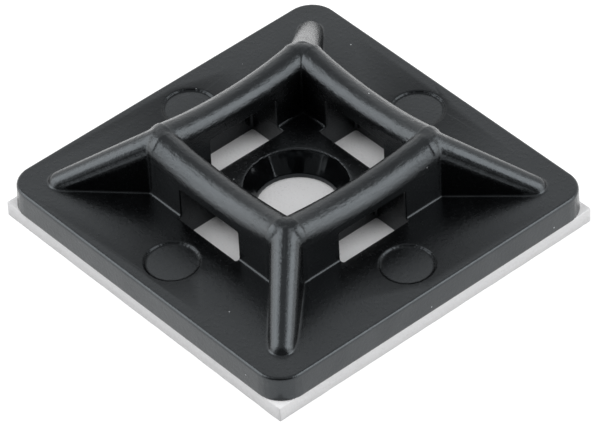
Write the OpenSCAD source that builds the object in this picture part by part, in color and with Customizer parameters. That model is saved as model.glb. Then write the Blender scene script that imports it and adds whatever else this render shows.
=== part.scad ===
// Self-adhesive and screw-on cable tie mount: a moulded base with a raised square
// frame, four tie windows, four corner ribs and a countersunk screw hole, on a foam pad.
// The origin is the middle of the pad's underside, and +Z points away from the wall.

/* [Base plate] */
// Side of the square base plate, along its top edge
base_w = 19; // [18.5:0.5:25]
// Thickness of the base plate
base_t = 1.3; // [1:0.1:2]
// Radius of the base plate's corners
base_corner_r = 1.35; // [0.5:0.05:1.6]
// Draft of the base plate's sides, in degrees
base_draft = 2; // [0.5:0.5:5]
// Height of the small chamfer round the plate's top edge
base_edge = 0.08; // [0.04:0.02:0.2]

/* [Tie frame] */
// Distance between the centre lines of two opposite rails
frame_w = 8.8; // [8.4:0.1:10]
// Width of a rail and of the wall that carries it
rail_w = 1.65; // [1.3:0.05:1.8]
// Height of the frame above the base plate, at its corners
frame_h = 3.15; // [2.8:0.05:4]
// How far each rail's ridge sags in the middle of its length
rail_sag = 0.35; // [0.1:0.05:0.5]
// Radius of the rails' centre line round a corner of the frame, seen from above
frame_corner_r = 0.5; // [0.4:0.05:0.6]
// How far the round corners of the frame stand proud of the rails
corner_swell = 0.02; // [0.02:0.01:0.05]

/* [Tie windows] */
// Width of the widest cable tie that the mount takes
tie_w = 3.6; // [2.5:0.1:3.8]
// Play of the tie between the two sides of its window
tie_play = 0.4; // [0.2:0.1:0.6]
// Height of a window above the base plate
window_h = 1.6; // [1:0.1:1.8]
// How far the slot in the plate reaches past the wall on the outside
slot_outer_margin = 0.2; // [0.1:0.05:0.3]
// How far the slot in the plate reaches past the wall on the inside
slot_inner_margin = 0.4; // [0.2:0.05:0.45]

/* [Corner ribs] */
// Width of a rib where it leaves the frame
rib_root_w = 1.5; // [1.3:0.05:1.6]
// Width of a rib at its foot on the plate
rib_tip_w = 1.25; // [0.9:0.05:1.3]
// Distance from a rib's tip to the corner of the plate's outline, along the diagonal
rib_setback = 2; // [1.6:0.1:2.8]
// How far the top end of a rib lies above its place flush with the frame's corner
rib_root_lift = 0.08; // [0.02:0.02:0.12]
// Depth of the rib's axis under the plate's top, at its foot
rib_foot_sink = 0.15; // [0.05:0.05:0.2]

/* [Screw hole] */
// Diameter of the through hole
screw_hole_d = 3.8; // [2.8:0.1:4]
// Diameter of the countersink at the top of the plate
countersink_d = 5.05; // [4.25:0.1:5.25]
// Full angle of the countersink, in degrees
countersink_angle = 60; // [60:5:90]

/* [Ejector marks] */
// Diameter of the round marks left by the ejector pins
ejector_d = 2.6; // [1.5:0.1:2.8]
// Depth of the ejector marks
ejector_depth = 0.1; // [0.05:0.05:0.3]
// Distance from the middle of an ejector mark to the edge of the plate
ejector_inset = 2; // [1.6:0.1:2.2]

/* [Foam pad] */
// How far the edge of the square foam pad lies inside the top edge of the plate
pad_inset = 0; // [0:0.1:1]
// Thickness of the foam pad
pad_t = 0.8; // [0.5:0.1:1.6]

/* [Hidden] */
$fn = 64;
eps = 0.01;
pad_w = base_w - 2 * pad_inset;
base_flare = base_t * tan(base_draft);
corner_at = base_w / 2 - base_corner_r;
wall_at = frame_w / 2;
rail_r = rail_w / 2;
rail_half = wall_at - frame_corner_r;
rail_lap = 0.05;
corner_section_r = rail_r + corner_swell;
sag_r = (rail_half * rail_half + rail_sag * rail_sag) / (2 * rail_sag);
window_w = tie_w + tie_play;
slot_from = wall_at - rail_r - slot_inner_margin;
slot_to = wall_at + rail_r + slot_outer_margin;
rib_root_r = rib_root_w / 2;
rib_tip_r = rib_tip_w / 2;
rib_root_at = rail_half * sqrt(2) + frame_corner_r;
rib_foot_at = (base_w / 2) * sqrt(2) - rib_setback - rib_tip_r;
rib_run = rib_foot_at - rib_root_at;
rib_rise = frame_h - rib_root_r + rib_root_lift + rib_foot_sink;
rib_length = sqrt(rib_run * rib_run + rib_rise * rib_rise);
countersink_t = (countersink_d - screw_hole_d) / 2 / tan(countersink_angle / 2);
ejector_at = base_w / 2 - ejector_inset;

module foam_pad() {
    color("whitesmoke")
    translate([-pad_w / 2, -pad_w / 2, 0])
    cube([pad_w, pad_w, pad_t]);
}

// One drafted bar across the plate, as long as the straight part of its sides
module drafted_bar() {
    half = base_w / 2;
    rotate([90, 0, 0])
    translate([0, 0, -corner_at])
    linear_extrude(2 * corner_at)
    polygon([
        [-half - base_flare, 0], [half + base_flare, 0],
        [half, base_t - base_edge], [half - base_edge, base_t],
        [base_edge - half, base_t], [-half, base_t - base_edge]
    ]);
}

// One rounded and drafted corner of the plate
module drafted_corner() {
    cylinder(h = base_t - base_edge, r1 = base_corner_r + base_flare, r2 = base_corner_r);
    translate([0, 0, base_t - base_edge])
    cylinder(h = base_edge, r1 = base_corner_r, r2 = base_corner_r - base_edge);
}

module base_plate() {
    drafted_bar();
    rotate(90) drafted_bar();
    for (x = [-1, 1], y = [-1, 1])
        translate([x * corner_at, y * corner_at, 0])
        drafted_corner();
}

// Section of a rail on its wall, which hangs along +X from the middle of the round top
module rail_section(r) {
    circle(r, $fn = 48);
    translate([0, -r]) square([frame_h + base_t, 2 * r]);
}

// One side of the frame, with a round top that sags in the middle. Its ends lie just
// inside the corners.
module frame_side() {
    intersection() {
        translate([wall_at, 0, frame_h - rail_sag + sag_r])
        rotate([90, 0, 90])
        rotate([0, 0, 225])
        rotate_extrude(angle = 90, $fn = 180)
        translate([sag_r + rail_r, 0]) rail_section(rail_r);
        translate([wall_at - rail_w, -rail_half - rail_lap, -base_t / 2])
        cube([2 * rail_w, 2 * (rail_half + rail_lap), frame_h + base_t]);
    }
}

// One corner of the frame, where the round top turns level
module frame_corner() {
    translate([rail_half, rail_half, -base_t / 2])
    rotate_extrude(angle = 90)
    intersection() {
        translate([frame_corner_r, frame_h - rail_r + base_t / 2])
        rotate(-90) rail_section(corner_section_r);
        square(frame_h + base_t);
    }
}

// The plan of one rib along +X, which narrows to its foot
module rib_plan() {
    polygon([
        [rib_root_at, -rib_root_r], [rib_foot_at, -rib_tip_r],
        [rib_foot_at, rib_tip_r], [rib_root_at, rib_root_r]
    ]);
}

// One corner rib, out along +X: a gusset with a half-round ridge that ends in a ball
module corner_rib() {
    difference() {
        union() {
            translate([rib_foot_at, 0, -rib_foot_sink]) {
                sphere(rib_tip_r);
                rotate([0, -atan(rib_run / rib_rise), 0])
                cylinder(h = rib_length, r1 = rib_tip_r, r2 = rib_root_r);
            }
            translate([0, 0, -rib_foot_sink])
            intersection() {
                linear_extrude(frame_h) rib_plan();
                rotate([90, 0, 0])
                linear_extrude(rib_root_w, center = true)
                polygon([[rib_root_at, 0], [rib_foot_at, 0], [rib_root_at, rib_rise]]);
            }
        }
        translate([0, -rib_root_w, -base_t])
        cube([2 * rib_foot_at, 2 * rib_root_w, base_t / 2]);
    }
}

module screw_hole() {
    translate([0, 0, -eps])
    cylinder(h = base_t + 2 * eps, d = screw_hole_d);
    translate([0, 0, base_t - countersink_t])
    cylinder(h = countersink_t, d1 = screw_hole_d, d2 = countersink_d);
}

// A slot through the plate with the window above it, under one rail
module tie_slot() {
    translate([slot_from, -window_w / 2, -eps])
    cube([slot_to - slot_from, window_w, base_t + window_h + eps]);
}

module ejector_mark() {
    translate([ejector_at, 0, base_t - ejector_depth])
    cylinder(h = base_t, d = ejector_d);
}

module mount_body() {
    color("#2c2f30")
    translate([0, 0, pad_t])
    difference() {
        union() {
            base_plate();
            translate([0, 0, base_t]) {
                for (turn = [0 : 90 : 270]) {
                    rotate(turn) frame_side();
                    rotate(turn) frame_corner();
                    rotate(turn + 45) corner_rib();
                }
            }
        }
        screw_hole();
        for (turn = [0 : 90 : 270])
            rotate(turn) {
                tie_slot();
                ejector_mark();
            }
    }
}

foam_pad();
mount_body();
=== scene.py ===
import math

import bmesh
import bpy
from mathutils import Matrix, Vector, noise


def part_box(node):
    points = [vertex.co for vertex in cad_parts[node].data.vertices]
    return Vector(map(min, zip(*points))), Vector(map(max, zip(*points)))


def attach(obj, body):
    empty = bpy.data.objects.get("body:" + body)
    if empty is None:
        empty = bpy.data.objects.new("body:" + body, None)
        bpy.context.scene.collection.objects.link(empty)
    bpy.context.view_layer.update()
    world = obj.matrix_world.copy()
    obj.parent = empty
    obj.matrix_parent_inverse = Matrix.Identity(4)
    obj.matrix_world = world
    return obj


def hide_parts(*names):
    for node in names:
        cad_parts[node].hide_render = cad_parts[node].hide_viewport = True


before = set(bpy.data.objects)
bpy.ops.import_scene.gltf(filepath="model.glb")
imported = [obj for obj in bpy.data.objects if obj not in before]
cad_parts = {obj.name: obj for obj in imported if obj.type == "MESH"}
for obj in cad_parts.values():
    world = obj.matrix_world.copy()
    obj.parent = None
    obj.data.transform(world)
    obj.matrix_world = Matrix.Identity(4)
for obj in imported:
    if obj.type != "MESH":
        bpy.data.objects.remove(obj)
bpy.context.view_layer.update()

mm = 0.001

# Heights and widths that the pieces share, in millimetres, read from the CAD nodes
padLow, padHigh = [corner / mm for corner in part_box("foam_pad")]
bodyLow, bodyHigh = [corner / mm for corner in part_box("mount_body")]
plateThickness = 1.3
plateTop = padHigh.z + plateThickness
print("frame loaded, pad", padHigh - padLow, "body", bodyHigh - bodyLow)


# One wrapped socket: expressions on it add Math nodes, and node() adds any other kind
class Wire:
    def __init__(self, tree, socket=None):
        self.tree = tree
        self.socket = socket

    def node(self, kind, settings=None, sockets=None, out=0):
        made = self.tree.nodes.new(kind)
        for name, value in (settings or {}).items():
            setattr(made, name, value)
        for name, value in (sockets or {}).items():
            if isinstance(value, Wire):
                self.tree.links.new(value.socket, made.inputs[name])
            else:
                made.inputs[name].default_value = value
        return Wire(self.tree, made.outputs[out] if made.outputs else None)

    def maths(self, operation, *values):
        return self.node("ShaderNodeMath", {"operation": operation}, dict(enumerate(values)))

    def __add__(self, other):
        return self.maths("ADD", self, other)

    def __radd__(self, other):
        return self.maths("ADD", other, self)

    def __sub__(self, other):
        return self.maths("SUBTRACT", self, other)

    def __rsub__(self, other):
        return self.maths("SUBTRACT", other, self)

    def __mul__(self, other):
        return self.maths("MULTIPLY", self, other)

    def __rmul__(self, other):
        return self.maths("MULTIPLY", other, self)

    def __gt__(self, other):
        return self.maths("GREATER_THAN", self, other)

    def __lt__(self, other):
        return self.maths("LESS_THAN", self, other)

    def __abs__(self):
        return self.maths("ABSOLUTE", self)

    def fade(self, low, high):
        return self.node("ShaderNodeMapRange", {"interpolation_type": "SMOOTHSTEP"},
                         {"Value": self, "From Min": low, "From Max": high})

    def grain(self, place, scale, detail=2.0, rough=0.5):
        return self.node("ShaderNodeTexNoise", None,
                         {"Vector": place, "Scale": scale, "Detail": detail, "Roughness": rough})

    def blend(self, factor, first, second):
        return self.node("ShaderNodeMix", {"data_type": "RGBA"}, {0: factor, 6: first, 7: second}, 2)


# An empty material, and its object coordinates in millimetres
def newFinish(name):
    material = bpy.data.materials.new(name)
    material.use_nodes = True
    material.node_tree.nodes.clear()
    start = Wire(material.node_tree)
    coordinates = start.node("ShaderNodeTexCoord", None, None, 3)
    place = start.node("ShaderNodeMapping", None, {"Vector": coordinates, "Scale": (1000, 1000, 1000)})
    return material, start, place


def closeFinish(start, surface):
    start.node("ShaderNodeOutputMaterial", None, {"Surface": surface})


def axis(start, place, index):
    return start.node("ShaderNodeSeparateXYZ", None, {0: place}, index)


# Moulded nylon: satin with a fine spark grain, glossier in the countersink
plastic = {
    "top": (0.0012, 0.0013, 0.0015, 1),
    "worn": (0.006, 0.0065, 0.007, 1),
    "side": (0.012, 0.0125, 0.013, 1),
    "speck": (0.35, 0.36, 0.37, 1),
    "sheen": (0.86, 0.94, 1.0, 1),
    "roughness": 0.25,
    "coneRoughness": 0.12,
    "grainHeight": 0.07,
    "wallShadeStrength": 0.45,
}


def nylonFinish():
    material, start, place = newFinish("satin_nylon")
    x, y, z = [axis(start, place, i) for i in range(3)]
    outer = start.maths("MAXIMUM", abs(x), abs(y))
    radius = start.maths("SQRT", x * x + y * y)
    sideWall = (outer > 9.46) * (z < plateTop - 0.06)
    cone = (radius < 2.5) * (z < plateTop - 0.03)
    rail = (z > plateTop + 1.9) * (outer < 5.4)

    # Spark grain everywhere, drawn out along each rail
    alongX = start.node("ShaderNodeMapping", None, {"Vector": place, "Scale": (0.3, 1, 1)})
    alongY = start.node("ShaderNodeMapping", None, {"Vector": place, "Scale": (1, 0.3, 1)})
    spark = start.grain(place, 6.0, 4.0, 0.65)
    drawnX = start.grain(alongX, 5.0, 3.0, 0.6)
    drawnY = start.grain(alongY, 5.0, 3.0, 0.6)
    side = abs(y) > abs(x)
    drawn = drawnX * side + drawnY * (1 - side)
    grain = spark + rail * (drawn - spark) * 0.6
    broad = start.grain(place, 0.6, 2.0)

    # A few pale specks of dust
    cells = start.node("ShaderNodeTexVoronoi", None, {"Vector": place, "Scale": 1.3})
    chosen = start.grain(place, 0.9, 1.0)
    speck = (cells < 0.05) * (chosen > 0.56)

    colour = start.blend(broad.fade(0.35, 0.75) * 0.35 + grain.fade(0.45, 0.8) * 0.25,
                         plastic["top"], plastic["worn"])
    colour = start.blend(sideWall * broad.fade(0.3, 0.7), colour, plastic["side"])
    colour = start.blend(speck, colour, plastic["speck"])
    rough = plastic["roughness"] + (grain - 0.5) * 0.2 + sideWall * 0.1
    rough = rough - cone * (plastic["roughness"] - plastic["coneRoughness"])
    bump = start.node("ShaderNodeBump", None,
                      {"Height": grain * (0.3 + rail * 0.7 - cone * 0.27), "Strength": 0.6,
                       "Distance": plastic["grainHeight"] * mm})
    satin = start.node("ShaderNodeBsdfPrincipled", None,
                       {"Base Color": colour, "Roughness": rough, "Normal": bump, "IOR": 1.52,
                        "Specular Tint": plastic["sheen"]})
    # Painted shade: a dark matte diffuse is mixed over the satin by the larger of the crease mask and
    # the wall mask. It takes the reflections out of creases, steep faces, the plate near the frame walls
    # and the ejector mark rims.
    shade = start.node("ShaderNodeBsdfDiffuse", None, {"Color": plastic["top"]})
    creaseShade = start.node("ShaderNodeAttribute", {"attribute_name": "creaseShade"}, None, 2)
    paintedWallShade = start.node("ShaderNodeAttribute", {"attribute_name": "paintedWallShade"}, None, 2)
    paintedShade = start.maths("MAXIMUM", creaseShade, paintedWallShade * plastic["wallShadeStrength"])
    surface = start.node("ShaderNodeMixShader", None, {0: paintedShade, 1: satin, 2: shade})
    closeFinish(start, surface)
    return material


# Closed-cell foam tape, off-white, with small pores
foam = {
    "pale": (0.80, 0.80, 0.81, 1),
    "pore": (0.60, 0.60, 0.61, 1),
    "rings": 96,
    "wave": 0.03,
    "edge": 0.04,
}


def foamFinish():
    material, start, place = newFinish("closed_cell_foam")
    cells = start.node("ShaderNodeTexVoronoi", None, {"Vector": place, "Scale": 7.0})
    soft = start.grain(place, 3.0, 4.0, 0.6)
    pore = 1 - cells.fade(0.05, 0.35)
    colour = start.blend(pore * 0.5 * soft.fade(0.35, 0.65), foam["pale"], foam["pore"])
    bump = start.node("ShaderNodeBump", None,
                      {"Height": cells + soft * 0.5, "Strength": 0.4, "Distance": 0.03 * mm})
    surface = start.node("ShaderNodeBsdfPrincipled", None,
                         {"Base Color": colour, "Roughness": 0.85, "Normal": bump, "IOR": 1.4,
                          "Specular IOR Level": 0.3})
    closeFinish(start, surface)
    return material


def finishPiece(name, mesh, material, smooth=True):
    for face in mesh.faces:
        face.smooth = smooth
    data = bpy.data.meshes.new(name)
    mesh.to_mesh(data)
    mesh.free()
    piece = bpy.data.objects.new(name, data)
    bpy.context.scene.collection.objects.link(piece)
    data.materials.append(material)
    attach(piece, "root")
    return piece


# The moulding: a merged copy of the CAD solid, remeshed so that its outer edges get the
# small radii of a real mould. The rails bow in a little on the side of the well.
moulding = {
    "voxel": 0.055,
    "smoothRounds": 1,
    "smoothShare": 0.5,
    "keptShare": 0.23,
    "bow": 0.09,
    "bowFrom": 2.0,
    "bowTo": 2.8,
    "railHalf": 4.2,
    "innerEdge": 5.3,
    "creaseFrom": 0.08,
    "creaseTo": 0.25,
    "steepFrom": 0.35,
    "steepTo": 0.10,
    "wallShade": 3.2,
}


def softenedCopy():
    mesh = bmesh.new()
    mesh.from_mesh(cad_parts["mount_body"].data)
    bmesh.ops.remove_doubles(mesh, verts=mesh.verts, dist=0.002 * mm)
    bmesh.ops.scale(mesh, vec=(100, 100, 100), verts=mesh.verts)
    data = bpy.data.meshes.new("rough")
    mesh.to_mesh(data)
    mesh.free()
    rough = bpy.data.objects.new("rough", data)
    bpy.context.scene.collection.objects.link(rough)
    remesh = rough.modifiers.new("remesh", "REMESH")
    remesh.mode = "VOXEL"
    remesh.voxel_size = moulding["voxel"] * mm * 100
    soften = rough.modifiers.new("soften", "SMOOTH")
    soften.iterations = moulding["smoothRounds"]
    soften.factor = moulding["smoothShare"]
    thin = rough.modifiers.new("thin", "DECIMATE")
    thin.ratio = moulding["keptShare"]
    held = rough.evaluated_get(bpy.context.evaluated_depsgraph_get())
    mesh = bmesh.new()
    mesh.from_mesh(held.to_mesh())
    held.to_mesh_clear()
    bpy.data.objects.remove(rough)
    bmesh.ops.scale(mesh, vec=(0.01, 0.01, 0.01), verts=mesh.verts)
    return mesh


# How hollow the surface is at a vertex: the mean climb of its edges off its tangent plane
def hollowness(vert):
    climbs = [(edge.other_vert(vert).co - vert.co).normalized().dot(vert.normal)
              for edge in vert.link_edges]
    return max(0, sum(climbs) / len(climbs))


def makeMoulding():
    mesh = softenedCopy()
    mesh.normal_update()
    creaseShade = mesh.verts.layers.float.new("creaseShade")
    paintedWallShade = mesh.verts.layers.float.new("paintedWallShade")
    creaseSpan = moulding["creaseTo"] - moulding["creaseFrom"]
    steepSpan = moulding["steepFrom"] - moulding["steepTo"]
    for vert in mesh.verts:
        place = vert.co / mm
        across, along = sorted((abs(place.x), abs(place.y)), reverse=True)
        height = (place.z - plateTop - moulding["bowFrom"]) / (moulding["bowTo"] - moulding["bowFrom"])
        if across < moulding["innerEdge"] and height > 0:
            share = min(1, height) * max(0, 1 - (along / moulding["railHalf"]) ** 2)
            i = 0 if abs(place.x) > abs(place.y) else 1
            vert.co[i] -= math.copysign(moulding["bow"] * share * mm, place[i])
        # Painted shade in concave creases inside the well and along the ribs, graded by how hollow the
        # vertex is
        sheltered = place.z < plateTop + 2.3 and (across < 4.3 or across - along < 1.2)
        if sheltered:
            vert[creaseShade] = min(1, max(0, hollowness(vert) - moulding["creaseFrom"]) / creaseSpan)
        # Painted shade by the wall mask: on faces above the plate it grows as the face turns vertical,
        # and on the plate top it is full on the ejector mark rims and fades with distance from the frame
        # walls
        if place.z > plateTop + 0.05:
            vert[paintedWallShade] = min(1, max(0, moulding["steepFrom"] - abs(vert.normal.z)) / steepSpan)
        elif place.z > plateTop - 0.15:
            rim = abs(math.hypot(across - 7.5, along) - 1.3) < 0.15
            nearWall = max(0, 1 - abs(across - 5.2) / moulding["wallShade"])
            vert[paintedWallShade] = 1 if rim else 0.7 * nearWall
    piece = finishPiece("moulded_mount", mesh, nylonFinish())
    level = piece.modifiers.new("level", "WEIGHTED_NORMAL")
    level.weight = 60
    return piece


body = makeMoulding()
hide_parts("mount_body")
body.data.calc_loop_triangles()
print("moulding made, triangles", len(body.data.loop_triangles))


# The foam pad: a cut block whose sides wave a little where the knife went through
def makeFoamPad():
    mesh = bmesh.new()
    bmesh.ops.create_cube(mesh, size=1.0)
    size = (padHigh - padLow) * mm
    middle = (padHigh + padLow) / 2 * mm
    bmesh.ops.scale(mesh, vec=size, verts=mesh.verts)
    bmesh.ops.translate(mesh, vec=middle, verts=mesh.verts)
    bmesh.ops.bevel(mesh, geom=list(mesh.edges), offset=foam["edge"] * mm, segments=2,
                    affect="EDGES", profile=0.5, material=-1)
    longEdges = [edge for edge in mesh.edges if edge.calc_length() > 10 * mm]
    bmesh.ops.subdivide_edges(mesh, edges=longEdges, cuts=foam["rings"], use_grid_fill=True)
    for vert in mesh.verts:
        place = vert.co / mm
        for i in range(2):
            if abs(place[i]) > padHigh[i] - 0.1:
                wave = noise.noise(Vector((place.x * 1.3, place.y * 1.3, place.z * 0.8 + 7 * i)))
                vert.co[i] -= math.copysign((0.5 + 0.5 * wave) * foam["wave"] * mm, place[i])
    return finishPiece("foam_tape", mesh, foamFinish())


foamPad = makeFoamPad()
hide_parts("foam_pad")
print("foam pad made, faces", len(foamPad.data.polygons))

# Floor, world, lamps and camera
studio = {
    "floorSize": 1.2,
    "worldCamera": 1.0,
    "worldLow": 1.25,
    "worldHigh": 0.65,
    "worldFront": 0.15,
    "diffuseLow": 0.12,
    "diffuseHigh": 0.75,
    "fadeFrom": 0.58,
    "fadeTo": 0.88,
    "floorShade": 0.45,
    "floorGlow": 0.75,
    "floorGloss": 1.5,
}


def makeFloor():
    mesh = bmesh.new()
    bmesh.ops.create_grid(mesh, x_segments=1, y_segments=1, size=studio["floorSize"] / 2)
    data = bpy.data.meshes.new("floor")
    mesh.to_mesh(data)
    mesh.free()
    floor = bpy.data.objects.new("floor", data)
    bpy.context.scene.collection.objects.link(floor)
    material = bpy.data.materials.new("pale_floor")
    material.use_nodes = True
    material.node_tree.nodes.clear()
    start = Wire(material.node_tree)
    seen = start.node("ShaderNodeLightPath")
    glossy = Wire(start.tree, seen.socket.node.outputs["Is Glossy Ray"])
    through = Wire(start.tree, seen.socket.node.outputs["Is Transmission Ray"])
    place = start.node("ShaderNodeTexCoord", None, None, 3)
    front = (axis(start, place, 0) * 0.77 - axis(start, place, 1) * 0.638).fade(0.02, 0.06)
    shown = seen + through + glossy * (1 - front * 0.8) * studio["floorGloss"]
    cloth = start.node("ShaderNodeBsdfDiffuse", None, {"Color": [studio["floorShade"]] * 3 + [1]})
    lit = start.node("ShaderNodeEmission", None,
                     {"Color": (1, 1, 1, 1), "Strength": shown * studio["floorGlow"]})
    both = start.node("ShaderNodeAddShader", None, {0: cloth, 1: lit})
    closeFinish(start, both)
    data.materials.append(material)


def makeWorld():
    world = bpy.data.worlds.new("studio")
    bpy.context.scene.world = world
    world.use_nodes = True
    world.node_tree.nodes.clear()
    start = Wire(world.node_tree)
    seen = start.node("ShaderNodeLightPath")
    glossy = Wire(start.tree, seen.socket.node.outputs["Is Glossy Ray"])
    ray = start.node("ShaderNodeTexCoord", None, None, 0)
    high = axis(start, ray, 2).fade(studio["fadeFrom"], studio["fadeTo"])
    tent = studio["worldLow"] + high * (studio["worldHigh"] - studio["worldLow"])
    front = (axis(start, ray, 0) * 0.77 - axis(start, ray, 1) * 0.638).fade(0.35, 0.7)
    tent = tent - front * (tent - studio["worldFront"])
    dome = studio["diffuseLow"] + high * (studio["diffuseHigh"] - studio["diffuseLow"])
    strength = seen * studio["worldCamera"] + glossy * tent + (1 - seen - glossy) * dome
    back = start.node("ShaderNodeBackground", None, {"Color": (1, 1, 1, 1), "Strength": strength})
    start.node("ShaderNodeOutputWorld", None, {"Surface": back})


# Each lamp: direction from the object, distance and size in metres, power in watts
lamps = {
    "left_high": {"toward": (-0.52, -0.50, 0.74), "distance": 0.34, "size": (0.26, 0.17), "power": 0.50},
    "left_low": {"toward": (-0.60, -0.72, 0.30), "distance": 0.34, "size": (0.29, 0.19), "power": 0.42},
    "right_high": {"toward": (0.60, 0.42, 0.70), "distance": 0.34, "size": (0.26, 0.17), "power": 0.50},
    "right_low": {"toward": (0.80, 0.52, 0.30), "distance": 0.34, "size": (0.29, 0.19), "power": 0.42},
}


def makeLamps():
    for name, lamp in lamps.items():
        data = bpy.data.lights.new(name, "AREA")
        data.shape = "RECTANGLE"
        data.size, data.size_y = lamp["size"]
        data.energy = lamp["power"]
        holder = bpy.data.objects.new(name, data)
        bpy.context.scene.collection.objects.link(holder)
        toward = Vector(lamp["toward"]).normalized()
        holder.location = toward * lamp["distance"]
        holder.rotation_euler = toward.to_track_quat("Z", "Y").to_euler()


view = {
    "azimuth": 50.386,
    "elevation": 41.950,
    "roll": -2.970,
    "lens": 318.215,
    "shift": (0.1559, -1.2825),
    "distance": 242.158,
}


def makeCamera():
    data = bpy.data.cameras.new("camera")
    data.sensor_width = 36
    data.lens = view["lens"]
    data.clip_start = 0.01
    data.clip_end = 10
    camera = bpy.data.objects.new("camera", data)
    bpy.context.scene.collection.objects.link(camera)
    turn, lift, roll = [math.radians(view[key]) for key in ("azimuth", "elevation", "roll")]
    back = Vector((math.sin(turn) * math.cos(lift), -math.cos(turn) * math.cos(lift), math.sin(lift)))
    right = Vector((math.cos(turn), math.sin(turn), 0))
    up = back.cross(right)
    across = right * math.cos(roll) + up * math.sin(roll)
    upward = up * math.cos(roll) - right * math.sin(roll)
    aim = Vector((0, 0, plateTop))
    place = aim + across * view["shift"][0] + upward * view["shift"][1] + back * view["distance"]
    camera.matrix_world = Matrix((
        (across.x, upward.x, back.x, place.x * mm),
        (across.y, upward.y, back.y, place.y * mm),
        (across.z, upward.z, back.z, place.z * mm),
        (0, 0, 0, 1)))
    bpy.context.scene.camera = camera


makeFloor()
makeWorld()
makeLamps()
makeCamera()
bpy.context.scene.view_settings.view_transform = "Standard"
print("studio set")
